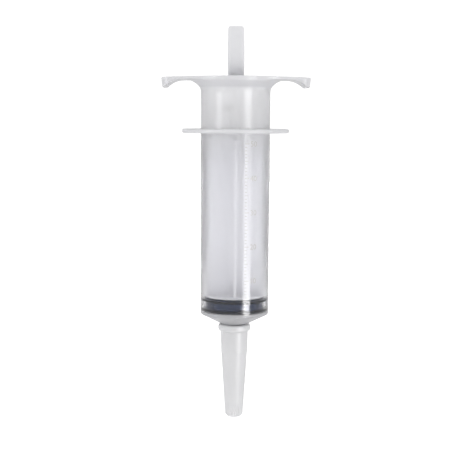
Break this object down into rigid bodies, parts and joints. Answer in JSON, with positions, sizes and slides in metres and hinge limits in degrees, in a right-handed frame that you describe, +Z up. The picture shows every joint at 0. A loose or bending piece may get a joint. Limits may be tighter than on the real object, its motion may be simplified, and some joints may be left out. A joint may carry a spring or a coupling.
{
  "type": "piston syringe",
  "caption": "Piston irrigation syringe: milky barrel with finger flange and hanging collar, thumb-ring plunger, black rubber seal and push-on cap over the catheter tip.",
  "frame": {"origin": "centre of the bounding box's bottom face, on the syringe axis at the end of the tip cap", "axes": "+Z up along the syringe axis from the tip to the thumb ring; X across the finger wings; Y through the face of the thumb ring's plane"},
  "size_m": [0.0668, 0.0488, 0.1796],
  "materials": {
    "barrel_plastic": "translucent milky polypropylene, smooth and glossy",
    "plunger_plastic": "milky white polypropylene, satin",
    "seal_rubber": "black moulded rubber, lightly oiled",
    "cap_plastic": "milky polyethylene, satin"
  },
  "bodies": {
    "barrel": {"barrel": "barrel_plastic"},
    "piston": {"piston_seal": "seal_rubber"},
    "plunger": {"plunger_rod": "plunger_plastic"},
    "cap": {"tip_cap": "cap_plastic"}
  },
  "joints": [
    {"name": "plunger_slide", "type": "slide", "parent": "barrel", "child": "piston", "axis": [0, 0, 1], "range_m": [0, 0.0918]},
    {"name": "rod_swivel", "type": "hinge", "parent": "piston", "child": "plunger", "pos_m": [0, 0, 0.0534], "axis": [0, 0, 1], "continuous": true},
    {"name": "cap_pull_off", "type": "slide", "parent": "barrel", "child": "cap", "axis": [0, 0, -1], "range_m": [0, 0.045]}
  ]
}
